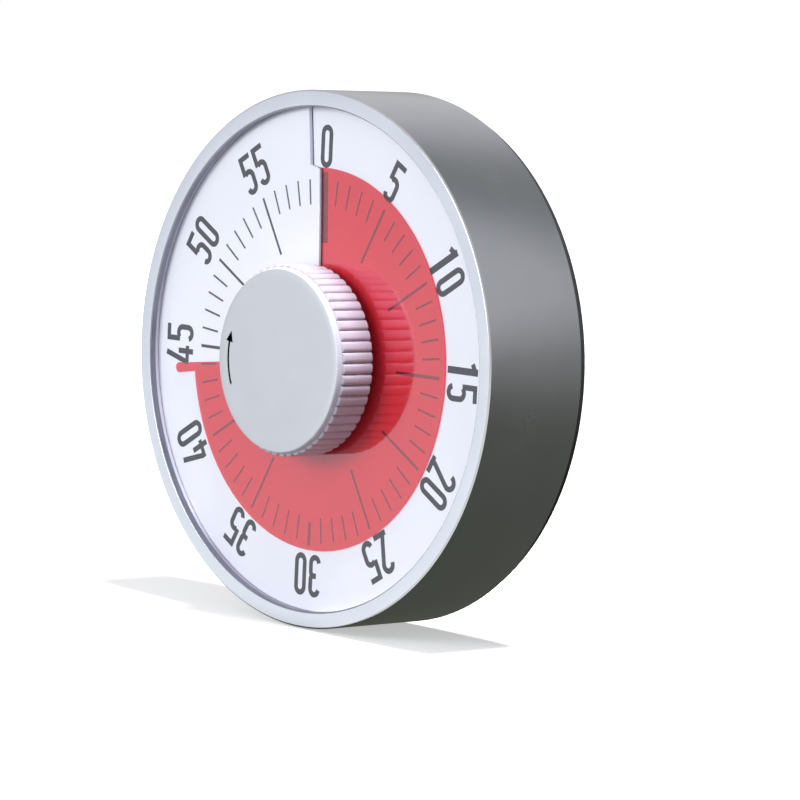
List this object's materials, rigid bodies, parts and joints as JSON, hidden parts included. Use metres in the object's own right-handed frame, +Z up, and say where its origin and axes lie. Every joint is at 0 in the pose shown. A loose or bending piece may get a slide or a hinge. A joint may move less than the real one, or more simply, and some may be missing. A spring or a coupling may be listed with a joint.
{
  "type": "visual countdown timer",
  "caption": "Round magnetic wind-up timer: a ribbed knob winds a red film round a white minute dial through a radial slit, over a clockwork movement with a bell.",
  "frame": {"origin": "centre of the flat magnetic back, on the surface that the timer clings to", "axes": "-Y points out of the dial towards the reader, +Z runs up through the dial's 0, +X is to the reader's right"},
  "size_m": [0.078, 0.0244, 0.078],
  "materials": {
    "case_aluminium": "satin, bead blasted and clear anodised",
    "knob_aluminium": "matte face, bright cut band and ribs",
    "dial_white": "smooth printed plastic sheet",
    "film_red": "translucent glossy film",
    "collar_red": "moulded",
    "cover_black": "fine moulded grain",
    "ring_grey": "moulded",
    "frame_plastic": "moulded",
    "screw_steel": "zinc plated",
    "magnet_nickel": "nickel plated",
    "plate_brass": "stamped",
    "spring_steel": "blued",
    "arbor_steel": "turned",
    "bell_metal": "nickel plated",
    "drum_steel": "zinc plated"
  },
  "bodies": {
    "root": {"case_shell": "case_aluminium", "spacer_ring": "ring_grey", "dial_plate": "dial_white", "rear_cover": "cover_black", "cover_screws": "screw_steel", "magnets": "magnet_nickel", "inner_frame": "frame_plastic", "frame_screws": "screw_steel", "front_plate": "plate_brass", "rear_plate": "plate_brass", "pillars": "plate_brass", "pillar_screws": "screw_steel", "spring_drum": "drum_steel", "mainspring": "spring_steel", "bell_post": "plate_brass", "bell": "bell_metal", "bell_screw": "screw_steel", "hammer_post": "arbor_steel", "post_clip": "arbor_steel"},
    "knob": {"knob_shell": "knob_aluminium", "knob_core": "frame_plastic", "main_arbor": "arbor_steel", "arbor_clip": "arbor_steel", "great_wheel": "plate_brass", "ratchet_wheel": "arbor_steel", "click": "arbor_steel", "click_rivet": "plate_brass"},
    "film": {"film_collar": "collar_red", "red_film": "film_red"},
    "second": {"second_arbor": "arbor_steel", "second_wheel": "plate_brass"},
    "third": {"third_arbor": "arbor_steel", "third_wheel": "plate_brass"},
    "escape": {"escape_arbor": "arbor_steel", "escape_wheel": "plate_brass"},
    "balance": {"balance_staff": "arbor_steel", "pallet_anchor": "plate_brass", "balance_wheel": "plate_brass"},
    "hammer": {"hammer_lever": "arbor_steel", "hammer_head": "plate_brass", "hammer_spring": "spring_steel"}
  },
  "joints": [
    {"name": "knob_turn", "type": "hinge", "parent": "root", "child": "knob", "pos_m": [0, 0, 0], "axis": [0, 1, 0], "range_deg": [-264, 96]},
    {"name": "film_shift", "type": "slide", "parent": "knob", "child": "film", "axis": [0, -1, 0], "range_m": [-0.000441, 0.000161]},
    {"name": "second_turn", "type": "hinge", "parent": "root", "child": "second", "pos_m": [0.00788, 0, 0.01364], "axis": [0, 1, 0], "range_deg": [-577, 1585]},
    {"name": "third_turn", "type": "hinge", "parent": "root", "child": "third", "pos_m": [0.01965, 0, 0.01026], "axis": [0, 1, 0], "range_deg": [-9505, 3457]},
    {"name": "escape_turn", "type": "hinge", "parent": "root", "child": "escape", "pos_m": [0.02063, 0, -0.00094], "axis": [0, 1, 0], "range_deg": [-13825, 38017]},
    {"name": "balance_swing", "type": "hinge", "parent": "root", "child": "balance", "pos_m": [0.01914, 0, -0.00941], "axis": [0, 1, 0], "range_deg": [-6, 6]},
    {"name": "hammer_swing", "type": "hinge", "parent": "root", "child": "hammer", "pos_m": [-0.02771, 0, -0.01617], "axis": [0, -1, 0], "range_deg": [0, 6.2], "stiffness_Nm_per_rad": 0.0004}
  ],
  "couplings": [
    {"joint": "film_shift", "follows": "knob_turn", "m_per_rad": 0.000095493},
    {"joint": "second_turn", "follows": "knob_turn", "ratio": -6},
    {"joint": "third_turn", "follows": "knob_turn", "ratio": 36},
    {"joint": "escape_turn", "follows": "knob_turn", "ratio": -144}
  ]
}
